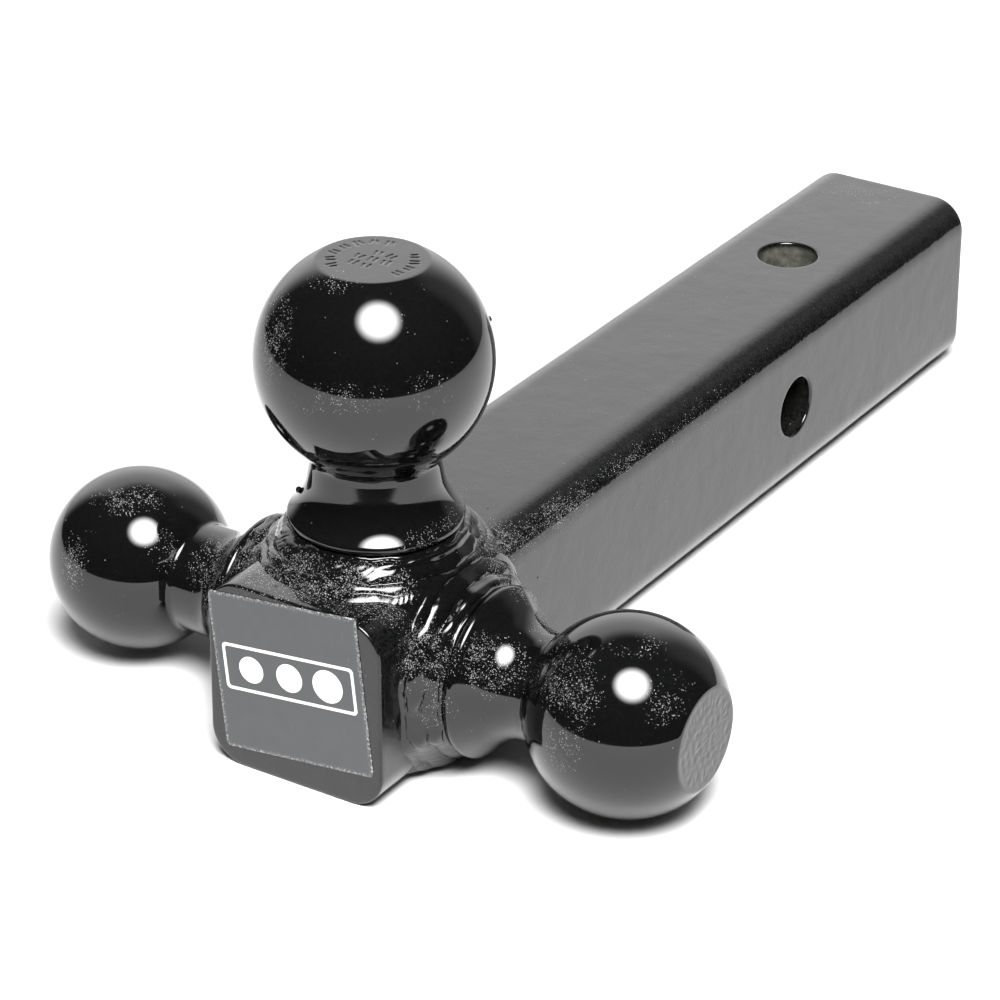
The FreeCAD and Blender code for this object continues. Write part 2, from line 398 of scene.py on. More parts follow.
# Fixed directions on the object: rightward, upward and towards someone who stands in front
# of it, to its right and above it.
RIGHTWARD = np.array([0.841, 0.540, 0.0])
UPWARD = np.array([-0.252, 0.388, 0.887])
TOWARD = np.array([0.478, -0.747, 0.463])

# Dusty places on the balls: ball, shares of its radius to the right and up, their half
# sizes as shares of the radius, and how dusty.
BALL_DUST = [
    ("large", -0.78, 0.18, 0.22, 0.55, 0.75),
    ("large", -0.20, -0.36, 0.60, 0.22, 0.45),
    ("large", -0.30, 0.58, 0.35, 0.16, 0.35),
    ("large", 0.45, -0.30, 0.30, 0.25, 0.40),
    ("medium", -0.55, 0.30, 0.40, 0.55, 0.75),
    ("medium", -0.62, -0.25, 0.28, 0.35, 0.70),
    ("medium", 0.32, 0.20, 0.35, 0.40, 0.45),
    ("medium", 0.05, 0.66, 0.45, 0.18, 0.40),
    ("small", -0.66, -0.05, 0.22, 0.42, 0.95),
    ("small", -0.10, 0.62, 0.55, 0.24, 0.85),
    ("small", 0.30, 0.10, 0.30, 0.40, 0.35),
]

# Dusty places on the bar and the welds: centre from the crossing, radii, and how dusty.
BAR_DUST = [
    ((-6, -26, 26), (26, 14, 9), 1.0),
    ((14, -24, 27), (20, 14, 9), 1.0),
    ((25, 22, 24), (12, 18, 11), 1.0),
    ((25, 46, 21), (6, 30, 6), 0.95),
    ((25, 78, 22), (5, 20, 5), 0.65),
    ((27, -20, 12), (12, 12, 14), 0.9),
    ((31, -18, 0), (9, 12, 9), 0.7),
    ((-25, -14, 24), (16, 22, 13), 1.0),
    ((-40, -6, 10), (14, 20, 16), 0.8),
    ((42, -12, 10), (12, 10, 11), 0.85),
    ((48, 8, 12), (10, 12, 12), 0.7),
    ((33, 14, 20), (12, 14, 12), 1.0),
    ((18, -2, 36), (9, 18, 4), 0.5),
    ((-10, 32, 28), (22, 12, 8), 0.8),
    ((-30, 20, 4), (12, 14, 22), 0.8),
    ((-4, 258, 27), (22, 12, 6), 0.28),
    ((25, 110, 20), (5, 50, 7), 0.25),
]

DUST_EVERYWHERE = 0.055
BALL_DUST_SHARE = 0.8


def dust_mask(points):
    """Share of the paint under pale dust, heaviest round the welds."""
    total = np.full(len(points), DUST_EVERYWHERE)
    for centre, radii, weight in BAR_DUST:
        total = np.maximum(total, weight * blob(points - CROSSING, centre, radii))
    for name, right, up, half_width, half_height, weight in BALL_DUST:
        ball = BALLS[name]
        centre = ball["axis"] * ball["centre"] + CROSSING
        local = (points - centre) / ball["radius"]
        away = np.stack([(local @ RIGHTWARD - right) / half_width,
                         (local @ UPWARD - up) / half_height])
        near = 1 - step(np.hypot(*away), 0.2, 1.0)
        on_ball = (np.linalg.norm(local, axis=1) < 1.05) & (local @ TOWARD > 0)
        total = np.maximum(total, BALL_DUST_SHARE * weight * near * on_ball)
    patchy = step(waves(points, 8.0, 3) * 0.5 + waves(points, 3.2, 4) * 0.45, -0.9, 0.7)
    return np.clip(total * (0.40 + 0.75 * patchy), 0, 1)


# ------------------------ the bar

FLAT_STEPS = 32
CORNER_STEPS = 14
ROW_SPACING = 1.3
SAME_PLACE = 1e-6


def perimeter(inset, y):
    """Points round the bar's section, moved inward by an inset, one row per side and corner."""
    flat = np.linspace(-BAR_FLAT, BAR_FLAT, FLAT_STEPS + 1)
    turn = np.linspace(0, math.pi / 2, CORNER_STEPS + 1)
    radius = BAR_ROUND - inset
    side = np.stack([flat, np.full_like(flat, HALF - inset)], axis=1)
    corner = np.stack([BAR_FLAT + radius * np.sin(turn), BAR_FLAT + radius * np.cos(turn)], axis=1)
    sides, corners = [], []
    for quarter in range(4):
        angle = -quarter * math.pi / 2
        spin = np.array([[math.cos(angle), math.sin(angle)], [-math.sin(angle), math.cos(angle)]])
        for source, target in ((side, sides), (corner, corners)):
            turned = source @ spin
            target.append(np.stack([turned[:, 0], np.full(len(turned), y), turned[:, 1]], axis=1))
    return sides, corners


def bar_mesh():
    """Sides, corners, pin holes and ends of the bar, before its waviness."""
    sheets = Sheets()
    hole_at = {0: TOP_HOLE_Y, 1: SIDE_HOLE_Y, 2: TOP_HOLE_Y, 3: SIDE_HOLE_Y}
    marks = [FRONT_Y + END_ROUND, SIDE_HOLE_Y - BAR_FLAT, SIDE_HOLE_Y + BAR_FLAT,
             TOP_HOLE_Y - BAR_FLAT, TOP_HOLE_Y + BAR_FLAT, REAR_Y - END_ROUND]
    for low_y, high_y in zip(marks, marks[1:]):
        middle = (low_y + high_y) / 2
        at_hole = abs(high_y - low_y - 2 * BAR_FLAT) < SAME_PLACE
        count = FLAT_STEPS if at_hole else round((high_y - low_y) / ROW_SPACING)
        rows = [perimeter(0, y) for y in np.linspace(low_y, high_y, count + 1)]
        for quarter in range(4):
            sheets.add(np.stack([row[1][quarter] for row in rows]))
            if abs(hole_at[quarter] - middle) < SAME_PLACE:
                hole_panel(sheets, np.stack([row[0][quarter] for row in rows]))
            else:
                sheets.add(np.stack([row[0][quarter] for row in rows]))
    for centre, axis in ((SIDE_HOLE_Y, 0), (TOP_HOLE_Y, 2)):
        bore(sheets, centre, axis)
    for y, outward in ((FRONT_Y, -1), (REAR_Y, 1)):
        end_cap(sheets, y, outward)
    return sheets


HOLE_STEPS = 4 * FLAT_STEPS
RINGS = 10
ROUND_STEPS = 6
BORE_ROWS = 41
CAP_ROWS = 8


def ring_angles():
    """Angles round a pin hole, starting at a corner of the square panel round it."""
    return -math.pi * 3 / 4 + TURN * np.arange(HOLE_STEPS) / HOLE_STEPS


def hole_panel(sheets, square):
    """Fill a square grid's outline in to the rim of a pin hole, then round the rim."""
    outline = np.concatenate([square[0, :-1], square[:-1, -1], square[-1, :0:-1], square[:0:-1, 0]])
    middle = square.reshape(-1, 3).mean(axis=0)
    across = square[0, -1] - square[0, 0]
    across /= np.linalg.norm(across)
    along = np.array([0.0, 1.0, 0.0])
    out = middle * np.array([1, 0, 1])
    out /= np.linalg.norm(out)
    angles = ring_angles()

    def circle(radius, depth):
        spokes = np.cos(angles)[:, None] * across + np.sin(angles)[:, None] * along
        return middle - out * depth + spokes * radius

    rim = circle(PIN_R + MOUTH_ROUND, 0)
    rows = [outline + (rim - outline) * t for t in np.linspace(0, 1, RINGS + 1) ** 0.8]
    for phi in np.linspace(0, math.pi / 2, ROUND_STEPS + 1)[1:]:
        depth = MOUTH_ROUND * (1 - math.cos(phi))
        rows.append(circle(PIN_R + MOUTH_ROUND * (1 - math.sin(phi)), depth))
    sheets.add(np.stack(rows), closed=True)


def bore(sheets, centre, axis):
    """Wall of a pin hole between its two rounded mouths."""
    angles = ring_angles()
    rows = []
    for depth in np.linspace(-(HALF - MOUTH_ROUND), HALF - MOUTH_ROUND, BORE_ROWS):
        ring = np.zeros((HOLE_STEPS, 3))
        ring[:, 2 - axis] = PIN_R * np.cos(angles)
        ring[:, 1] = centre + PIN_R * np.sin(angles)
        ring[:, axis] = depth
        rows.append(ring)
    sheets.add(np.stack(rows), closed=True)


def end_cap(sheets, y, outward):
    """Rounded edge and flat of one end of the bar."""
    rows = []
    for phi in np.linspace(0, math.pi / 2, ROUND_STEPS + 1):
        level = y - outward * END_ROUND * (1 - math.sin(phi))
        rows.append(perimeter(END_ROUND * (1 - math.cos(phi)), level))
    for inset in np.linspace(END_ROUND, BAR_ROUND, CAP_ROWS)[1:]:
        rows.append(perimeter(inset, y))
    for quarter in range(4):
        sheets.add(np.stack([row[0][quarter] for row in rows]))
        sheets.add(np.stack([row[1][quarter] for row in rows]))
    flat = np.linspace(-BAR_FLAT, BAR_FLAT, FLAT_STEPS + 1)
    x, z = np.meshgrid(flat, flat)
    sheets.add(np.stack([x, np.full_like(x, y), z], axis=-1))


def outward_faces(points, faces):
    """Faces all turned outward, by Blender's own normal recalculation."""
    mesh = bpy.data.meshes.new("turning")
    mesh.from_pydata(points.tolist(), [], faces)
    work = bmesh.new()
    work.from_mesh(mesh)
    bmesh.ops.recalc_face_normals(work, faces=work.faces)
    turned = [[vertex.index for vertex in face.verts] for face in work.faces]
    work.free()
    bpy.data.meshes.remove(mesh)
    return turned


def build_bar():
    points, faces = bar_mesh().merged()
    faces = outward_faces(points, faces)
    normals = vertex_normals(points, faces)
    sway = 0.020 * waves(points, 26.0, 11) + 0.007 * waves(points, 9.0, 12)
    points = points + normals * (sway - 0.05)[:, None] * 0.9
    return make_piece("shank_body", points, faces, BAR_PAINT,
                      {"dust": dust_mask(points), "bore": bore_mask(points)})


# How thin the paint looks on the walls of the side and the top pin hole.
SIDE_BORE_WEAR = 0.05
TOP_BORE_WEAR = 1.0


def bore_mask(points):
    """Wear on the walls of the pin holes, where the paint is thin and dull."""
    total = np.zeros(len(points))
    for centre, axis, share in ((SIDE_HOLE_Y, 0, SIDE_BORE_WEAR), (TOP_HOLE_Y, 2, TOP_BORE_WEAR)):
        radius = np.hypot(points[:, 2 - axis], points[:, 1] - centre)
        deep = step(HALF - np.abs(points[:, axis]), 0.8, 2.0)
        total = np.maximum(total, (radius < PIN_R + 0.2) * deep * share)
    return total


# ------------------------ the balls

AROUND = 288
FIRST_BALL_SEED = 31
FLAT_RINGS = 58
SAME_POINT = 1e-4

# The rounding between a ball and its flat starts this far outside the flat's edge and ends
# this far inside it.
EDGE_OUTSIDE = 0.35
EDGE_INSIDE = 0.6


def arc_points(centre, radius, start, end, count):
    """Points on an arc between two angles in degrees."""
    angles = np.radians(np.linspace(start, end, count + 1))
    return np.stack([centre[0] + radius * np.cos(angles), centre[1] + radius * np.sin(angles)], axis=1)


def ball_profile(ball):
    """Outline of a forging from the middle of its base to its flat, and the flat's height."""
    rim = (COLLAR_R - COLLAR_ROUND, COLLAR_HEIGHT)
    fillet = ball["collar_fillet"]
    rim_arc = arc_points(rim, COLLAR_ROUND, -90, 45, 10)
    cone_r = ball["foot_r"] + fillet * (math.cos(math.radians(ball["draft"])) - math.sqrt(0.5))
    cone_h = rim_arc[-1, 1] + rim_arc[-1, 0] - cone_r
    hollow = (cone_r + fillet * math.sqrt(0.5), cone_h + fillet * math.sqrt(0.5))
    neck_arc = arc_points(hollow, fillet, 225, 180 + ball["draft"], 20)
    under = ball["ball_fillet"]
    reach_r = ball["neck_r"] + under
    reach_h = math.sqrt((ball["radius"] + under) ** 2 - reach_r ** 2)
    throat = (reach_r, ball["centre"] - reach_h)
    leave = -math.degrees(math.atan2(reach_h, reach_r))
    edge_r = ball["flat_r"]
    edge_turn = math.degrees(math.acos((edge_r + EDGE_OUTSIDE) / ball["radius"]))
    flat_h = ball["centre"] + math.sqrt(ball["radius"] ** 2 - edge_r ** 2)
    parts = [
        np.stack([np.linspace(0, LAND_R, 6), np.full(6, HALF)], axis=1),
        np.stack([np.linspace(LAND_R, rim_arc[0, 0], 8), np.linspace(HALF, rim_arc[0, 1], 8)], axis=1),
        rim_arc,
        np.linspace(rim_arc[-1], (cone_r, cone_h), 6),
        neck_arc,
        np.linspace(neck_arc[-1], (ball["neck_r"], throat[1]), 6),
        arc_points(throat, under, 180, 180 + leave, 12),
        arc_points((0, ball["centre"]), ball["radius"], leave, edge_turn, 100),
        edge_round(ball, edge_turn, flat_h),
    ]
    line = np.concatenate(parts)
    keep = np.append(True, np.linalg.norm(np.diff(line, axis=0), axis=1) > SAME_POINT)
    return line[keep], flat_h


def edge_round(ball, edge_turn, flat_h):
    """Small rounding between a ball and its flat, as a quadratic curve."""
    start = arc_points((0, ball["centre"]), ball["radius"], edge_turn, edge_turn, 0)[0]
    corner = np.array([ball["flat_r"], flat_h])
    end = np.array([ball["flat_r"] - EDGE_INSIDE, flat_h])
    t = np.linspace(0, 1, 7)[1:, None]
    return (1 - t) ** 2 * start + 2 * t * (1 - t) * corner + t ** 2 * end


def placed(points, ball):
    """Turn points made about Z onto a ball's axis and move them to its place."""
    axis = ball["axis"]
    if axis[2] > 0.5:
        turned = points
    else:
        turned = np.stack([points[:, 2] * axis[0], points[:, 1], -points[:, 0] * axis[0]], axis=1)
    return turned + CROSSING


PIT_SPACING = 2.6
STROKE_LENGTH = 2.3
STROKE_HALF_WIDTH = 0.27
STROKE_GAP = 1.45
STROKE_RING = 0.73
COLUMN_SPACING = 3.7


def stamp(u, v, flat_r, seed):
    """Depth, from 0 to 1, of plain pairs of strokes pressed into a ball's flat."""
    draw = np.random.default_rng(seed)
    marks = []
    for degrees in (*range(100, 245, 22), *range(-20, 62, 21)):
        turn = math.radians(degrees)
        marks.append((flat_r * STROKE_RING * math.cos(turn),
                      flat_r * STROKE_RING * math.sin(turn), turn))
    for row, count in ((3.6, 2), (0.0, 3), (-3.8, 2)):
        for column in range(count):
            place = (column - (count - 1) / 2) * COLUMN_SPACING + 0.3 * row
            marks.append((place, row, math.pi / 2))
    depth = np.zeros_like(u)
    for x, y, turn in marks:
        for side in (-0.5, 0.5):
            lean = turn + draw.uniform(-0.35, 0.35)
            across = -(u - x) * math.sin(lean) + (v - y) * math.cos(lean) - side * STROKE_GAP
            along = (u - x) * math.cos(lean) + (v - y) * math.sin(lean)
            reach = STROKE_LENGTH / 2 * draw.uniform(0.6, 1.0)
            outside = np.hypot(across, np.maximum(np.abs(along) - reach, 0))
            groove = 1 - step(outside, STROKE_HALF_WIDTH * 0.4, STROKE_HALF_WIDTH * 2.2)
            depth = np.maximum(depth, groove)
    return depth


def add_bead(sheets, centre, radius, squash, normal):
    """A small closed rounded lump, flattened along a normal."""
    normal = np.array(normal, float) / np.linalg.norm(normal)
    side = np.cross(normal, [0.3, 0.5, 0.8])
    side /= np.linalg.norm(side)
    other = np.cross(normal, side)
    rise, turn = np.meshgrid(np.linspace(-math.pi / 2, math.pi / 2, 9),
                             TURN * np.arange(14) / 14, indexing="ij")
    grid = (centre + radius * (np.cos(rise) * np.cos(turn))[..., None] * side
            + radius * (np.cos(rise) * np.sin(turn))[..., None] * other
            + radius * squash * np.sin(rise)[..., None] * normal)
    sheets.add(grid, closed=True)


NIB_WAY = np.array([0.72, 0.63, 0.29])
NIB_R = 0.75
DROP_TURN = math.radians(-149)
DROP_REACH = 18.9
DROP_HEIGHT = 40.1
DROP_R = 0.85


def with_nibs(points, faces, ball):
    """Add a nib of paint on the side of the ball and a drop of spatter on the shoulder."""
    centre = ball["axis"] * ball["centre"] + CROSSING
    drop_way = np.array([math.cos(DROP_TURN), math.sin(DROP_TURN), 0])
    sheets = Sheets()
    nib = centre + NIB_WAY / np.linalg.norm(NIB_WAY) * ball["radius"]
    add_bead(sheets, nib, NIB_R, 0.6, NIB_WAY)
    drop = drop_way * DROP_REACH + np.array([0, BALL_Y, DROP_HEIGHT])
    add_bead(sheets, drop, DROP_R, 0.9, drop_way + [0, 0, 0.5])
    more_points, more_faces = sheets.merged()
    more_faces = outward_faces(more_points, more_faces)
    shifted = [[index + len(points) for index in face] for face in more_faces]
    return np.vstack([points, more_points]), faces + shifted


def build_ball(name, ball, seed):
    """One forging: its turned shape, then the stamped and pitted flat."""
    profile, flat_h = ball_profile(ball)
    angles = TURN * np.arange(AROUND) / AROUND
    flat_rings = np.linspace(profile[-1, 0], 0, FLAT_RINGS)[1:]
    flat = np.stack([flat_rings, np.full(len(flat_rings), flat_h)], axis=1)
    line = np.concatenate([profile, flat])
    spokes = np.stack([np.cos(angles), np.sin(angles)], axis=1)
    grid = np.zeros((len(line), AROUND, 3))
    grid[:, :, :2] = line[:, None, :1] * spokes[None]
    grid[:, :, 2] = line[:, None, 1]
    on_flat = np.zeros(grid.shape[:2])
    on_flat[len(profile) - 1:] = 1
    depth = stamp(grid[:, :, 0], grid[:, :, 1], ball["flat_r"], seed) * ball["stamp_depth"]
    inside = step(ball["flat_r"] - line[:, 0], 0.3, 2.0)[:, None]
    pits = np.maximum(1.2 + waves(grid.reshape(-1, 3), PIT_SPACING, seed + 50), 0)
    depth = depth + ball["pitting"] * inside * pits.reshape(depth.shape)
    grid[:, :, 2] -= depth * on_flat
    sheets = Sheets()
    sheets.add(grid, closed=True)
    points, faces = sheets.merged()
    faces = outward_faces(points, faces)
    normals = vertex_normals(points, faces)
    points = points + normals * (0.006 * waves(points, 14.0, seed) - 0.015)[:, None]
    points = placed(points, ball)
    if name == "large":
        points, faces = with_nibs(points, faces, ball)
    piece = make_piece(name + "_forging", points, faces, BALL_PAINT,
                       {"dust": dust_mask(points)})
    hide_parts(name + "_ball")


# ------------------------ the welds

WELD_AROUND = 720
WELD_ALONG = 76

# The lip is where a ring starts at the collar, as distance from the ball's axis and height.
LIP = np.array([21.4, 33.0])
UNDERSIDE = -23.3
BEAD_RING_R = 26.0
BASE_LEVEL = -0.5
LUMP_COUNT = 9
SEEDS = {"large": 101, "medium": 202, "small": 303}

# Passes of each ring, from the lip at the collar to the toe on the bar: start and end along
# the line between them and crown height. Then how far the whole profile is hollow.
PASSES = {
    "large": ([(-0.5, 0.9, 0.55), (0.6, 6.6, 0.95), (6.3, 9.2, 0.50), (8.9, 12.6, 0.40)], 0.3),
    "medium": ([(-0.5, 0.7, 0.50), (0.4, 4.3, 0.80), (4.0, 8.6, 0.85), (8.3, 11.2, 0.45)], 0.9),
    "small": ([(-0.9, 0.6, 0.90), (0.0, 5.0, 2.00), (4.7, 8.6, 0.75), (8.3, 11.2, 0.45)], 0.8),
}

# Ripples of each ring: middle of the stretch and its half width in degrees round the axis,
# spacing along the bead, slant as ripples from edge to middle, and height.
RIPPLES = {
    "large": [(-65, 85, 4.4, 1.6, 0.034), (185, 75, 1.6, 0.5, 0.045), (70, 80, 5.0, 1.0, 0.012)],
    "medium": [(-90, 120, 6.0, 1.0, 0.010), (90, 120, 3.2, 0.8, 0.022)],
    "small": [(-90, 120, 3.6, 1.0, 0.025), (90, 120, 2.6, 0.8, 0.030)],
}


def to_local(points, ball):
    """Distance from a ball's axis, height along it, and angle round it."""
    moved = points - CROSSING
    height = moved @ ball["axis"]
    if ball["axis"][2] > 0.5:
        across = moved[:, 0]
    else:
        across = -moved[:, 2] * ball["axis"][0]
    return np.hypot(across, moved[:, 1]), height, np.arctan2(moved[:, 1], across)


TABLE_SIZE = 4096


def ring_noise(wavelength, seed):
    """Smooth random function of the angle round an axis, of unit spread, as a table."""
    draw = np.random.default_rng(seed)
    middle = TURN * BEAD_RING_R / wavelength
    angles = TURN * np.arange(TABLE_SIZE + 1) / TABLE_SIZE
    total = np.zeros(TABLE_SIZE + 1)
    for count in range(max(1, round(middle * 0.4)), round(middle * 1.6) + 1):
        weight = math.exp(-((count / middle - 1) / 0.4) ** 2)
        total += weight * np.cos(count * angles + draw.uniform(0, TURN))
    return total / total.std()


def look_up(table, angle):
    """Value of a ring_noise table at angles in radians."""
    place = (angle / TURN % 1.0) * TABLE_SIZE
    index = np.minimum(place.astype(int), TABLE_SIZE - 1)
    part = place - index
    return table[index] * (1 - part) + table[index + 1] * part


def pass_tables(name):
    """Random tables and lumps for every pass of one ring."""
    seed = SEEDS[name]
    beads, _ = PASSES[name]
    tables = {"sway": ring_noise(21.0, seed), "phase": ring_noise(9.0, seed + 1)}
    for number in range(len(beads) + 1):
        tables["edge", number] = ring_noise(11.0, seed + 10 + number)
        tables["fine edge", number] = ring_noise(3.4, seed + 20 + number)
        tables["crown", number] = ring_noise(12.0, seed + 30 + number)
    draw = np.random.default_rng(seed)
    lumps = [(draw.uniform(0, TURN), draw.uniform(2, 9), draw.uniform(1.4, 2.6),
              draw.uniform(0.1, 0.4)) for _ in range(LUMP_COUNT)]
    return tables, lumps


TABLES = {name: pass_tables(name) for name in BALLS}


def edge_shift(tables, number, angle):
    """How far the edge of a pass strays from its place."""
    coarse = look_up(tables["edge", number], angle)
    fine = look_up(tables["fine edge", number], angle)
    return 0.24 * coarse + 0.035 * fine


def ripple_height(name, angle, t):
    """Cooling ripples across one pass, where t runs from -1 to 1 over its width."""
    tables, _ = TABLES[name]
    total = np.zeros_like(t)
    for middle, half, spacing, slant, height in RIPPLES[name]:
        aside = np.abs(np.mod(angle - math.radians(middle) + math.pi, TURN) - math.pi)
        window = 1 - step(np.degrees(aside), half * 0.7, half)
        count = round(TURN * BEAD_RING_R / spacing)
        stray = look_up(tables["phase"], angle)
        phase = angle / TURN * count + slant * t + 0.35 * t * t + 0.3 * stray
        total += window * height * np.sin(TURN * phase)
    return total


def bead_height(name, along, angle):
    """Height of the weld passes over the straight line from lip to toe."""
    beads, hollow = PASSES[name]
    tables, lumps = TABLES[name]
    length = beads[-1][1]
    base = BASE_LEVEL - hollow * np.sin(math.pi * np.clip(along / length, 0, 1))
    base += 0.22 * look_up(tables["sway"], angle) * np.clip(along / 3, 0, 1)
    height = base.copy()
    for number, (start, end, crown) in enumerate(beads):
        low = start + (number > 0) * edge_shift(tables, number, angle)
        high = end + (number < len(beads) - 1) * edge_shift(tables, number + 1, angle)
        t = (along - low) / (high - low) * 2 - 1
        rounded = np.clip(1 - t * t, 0, 1)
        body = crown * (1 + 0.16 * look_up(tables["crown", number], angle)) * rounded ** 0.62
        ripple = ripple_height(name, angle + number, t) * rounded
        height = np.where(rounded > 0, np.maximum(height, base + body + ripple), height)
    for turn, place, spread, rise in lumps:
        aside = (np.mod(angle - turn + math.pi, TURN) - math.pi) * BEAD_RING_R
        height += rise * np.exp(-(aside ** 2 + (along - place) ** 2) / spread ** 2)
    return height


def smooth_min(one, two, width):
    """Smaller of two values, rounded where they differ by less than a width."""
    t = np.clip(0.5 + 0.5 * (two - one) / width, 0, 1)
    return two + (one - two) * t - width * t * (1 - t)


def weld_line(ball):
    """Direction from lip to toe, the outward normal of that line, and its length."""
    along = np.array([ball["toe_r"], HALF]) - LIP
    length = np.linalg.norm(along)
    along /= length
    return along, np.array([-along[1], along[0]]), length


def past_diagonal(points, ball):
    """Distance past the plane that halves the angle between neighbouring balls."""
    height = points @ ball["axis"]
    other = np.abs(points[:, 0]) if ball["axis"][2] > 0.5 else points[:, 2]
    return (other - height) * math.sqrt(0.5)


BRIDGE_ROUND = 4.0
LIP_GUARD = 5.0
MERGE_WIDTH = 2.5
UNDERSIDE_ROUND = 1.2


def weld_field(points):
    """Signed distance to the weld metal of all three rings, negative inside.

    Each ring fills the space inside a cone. Neighbouring cones meet in a rounded ridge,
    except close to a lip, and their beads fade into each other across the ridge."""
    cones, heights, shares, guards = [], [], [], []
    for name, ball in BALLS.items():
        radius, height, angle = to_local(points, ball)
        way, out, _ = weld_line(ball)
        cone = (radius - LIP[0]) * out[0] + (height - LIP[1]) * out[1]
        along = (radius - LIP[0]) * way[0] + (height - LIP[1]) * way[1]
        over = np.clip(-along - 0.4, 0, 10)
        cones.append(cone + 0.9 * over ** 2 + 0.4 * over)
        guards.append(LIP_GUARD * (1 - step(along, 0.5, 3.5)))
        heights.append(bead_height(name, along, angle))
        shares.append(1 - step(past_diagonal(points, ball), -MERGE_WIDTH, MERGE_WIDTH) + 1e-6)
    total = None
    for index, cone in enumerate(cones):
        guarded = cone - sum(guard for other, guard in enumerate(guards) if other != index)
        total = guarded if total is None else -smooth_min(-total, -guarded, BRIDGE_ROUND)
    total = total - sum(h * w for h, w in zip(heights, shares)) / sum(shares)
    unevenness = 0.25 * np.sin(points[:, 1] * 0.31) * np.cos(points[:, 0] * 0.4)
    below = UNDERSIDE - points[:, 2] + unevenness
    return -smooth_min(-total, -below, UNDERSIDE_ROUND)


def bar_depth(points):
    """Depth below the surface of the bar's section, positive inside."""
    q = np.abs(points[:, [0, 2]]) - BAR_FLAT
    outside = np.linalg.norm(np.maximum(q, 0), axis=1)
    return BAR_ROUND - outside - np.minimum(q.max(axis=1), 0)


# Rays that look for the weld's surface: their places along the line from lip to toe, as
# millimetres before the lip and as a share of the line's length, and their own ends.
RAY_COUNT = 150
RAYS_START = -1.6
RAYS_END = 1.62
DEEPEST = -9.0
HIGHEST = 3.0
HALVINGS = 14

# A ring's surface ends this far inside the bar, and is closed by two circles inside the
# metal that it joins, each a radius and a height.
BURIED = 0.7
CORE_CIRCLE = (15.0, 24.3)
COLLAR_CIRCLE = (19.4, 33.4)


def build_weld(name, ball):
    """One closed ring of weld metal between a collar and the bar."""
    way, out, length = weld_line(ball)
    places = np.linspace(RAYS_START, length * RAYS_END, RAY_COUNT)
    base = LIP + places[:, None] * way
    angles = TURN * np.arange(WELD_AROUND) / WELD_AROUND
    low = np.full((WELD_AROUND, RAY_COUNT), DEEPEST)
    high = np.full((WELD_AROUND, RAY_COUNT), HIGHEST)

    def spot(reach):
        line = base[None] + reach[..., None] * out
        local = np.stack([line[..., 0] * np.cos(angles)[:, None],
                          line[..., 0] * np.sin(angles)[:, None], line[..., 1]], axis=-1)
        return placed(local.reshape(-1, 3), ball)

    def circle(radius, height):
        ring = [radius * np.cos(angles), radius * np.sin(angles), np.full(WELD_AROUND, height)]
        return placed(np.stack(ring, axis=1), ball)[:, None]

    for _ in range(HALVINGS):
        middle = (low + high) / 2
        inside = (weld_field(spot(middle)) < 0).reshape(middle.shape)
        low = np.where(inside, middle, low)
        high = np.where(inside, high, middle)
    surface = spot((low + high) / 2)
    exposed = BURIED - bar_depth(surface)
    limits = np.minimum(-past_diagonal(surface, ball), exposed).reshape(WELD_AROUND, -1)
    lines = surface.reshape(WELD_AROUND, -1, 3)
    grid = np.stack([trimmed(line, limit) for line, limit in zip(lines, limits)])
    core = circle(*CORE_CIRCLE)
    grid = np.concatenate([core, circle(*COLLAR_CIRCLE), grid, core], axis=1).transpose(1, 0, 2)
    sheets = Sheets()
    sheets.add(grid, closed=True)
    add_spatter(sheets, name, ball)
    points, faces = sheets.merged()
    faces = outward_faces(points, faces)
    piece = make_piece(name + "_weld", points, faces, WELD_PAINT,
                       {"dust": dust_mask(points)})
    piece.data.set_sharp_from_angle(angle=math.radians(50))
    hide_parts(*(name + "_" + which + "_weld" for which in ("root", "toe_cap", "collar_cap")))


SPATTER_COUNT = 14
SPATTER_TO_END = 3


def add_spatter(sheets, name, ball):
    """Small drops of weld metal on the bar's flats round a toe."""
    draw = np.random.default_rng(SEEDS[name] + 7)
    for _ in range(SPATTER_COUNT):
        turn = draw.uniform(0, TURN)
        radius = draw.uniform(0.18, 0.42)
        reach = ball["toe_r"] + draw.uniform(0.8, 9.0)
        height = HALF - 0.3 * radius
        local = np.array([[reach * math.cos(turn), reach * math.sin(turn), height]])
        centre = placed(local, ball)[0]
        across = centre[0] if ball["axis"][2] > 0.5 else centre[2]
        if abs(across) < BAR_FLAT and centre[1] > FRONT_Y + SPATTER_TO_END:
            add_bead(sheets, centre, radius, 0.8, ball["axis"])


NEVER_CUT = 5


def trimmed(line, limit):
    """Line cut where its limit first falls below 0, at even spacing.

    Its first few points, at the collar, are never cut."""
    past = np.nonzero(limit[NEVER_CUT:] < 0)[0]
    if len(past):
        last = past[0] + NEVER_CUT
        t = limit[last - 1] / (limit[last - 1] - limit[last])
        line = np.vstack([line[:last], line[last - 1] + t * (line[last] - line[last - 1])])
    lengths = np.append(0, np.cumsum(np.linalg.norm(np.diff(line, axis=0), axis=1)))
    at = np.linspace(0, lengths[-1], WELD_ALONG)
    return np.stack([np.interp(at, lengths, line[:, i]) for i in range(3)], axis=1)


# ------------------------ the label

LABEL_WIDTH = 44.0
LABEL_HEIGHT = 42.6
LABEL_CORNER = 1.2
LABEL_TURN = math.radians(6.3)
OUTLINE_POINTS = 640


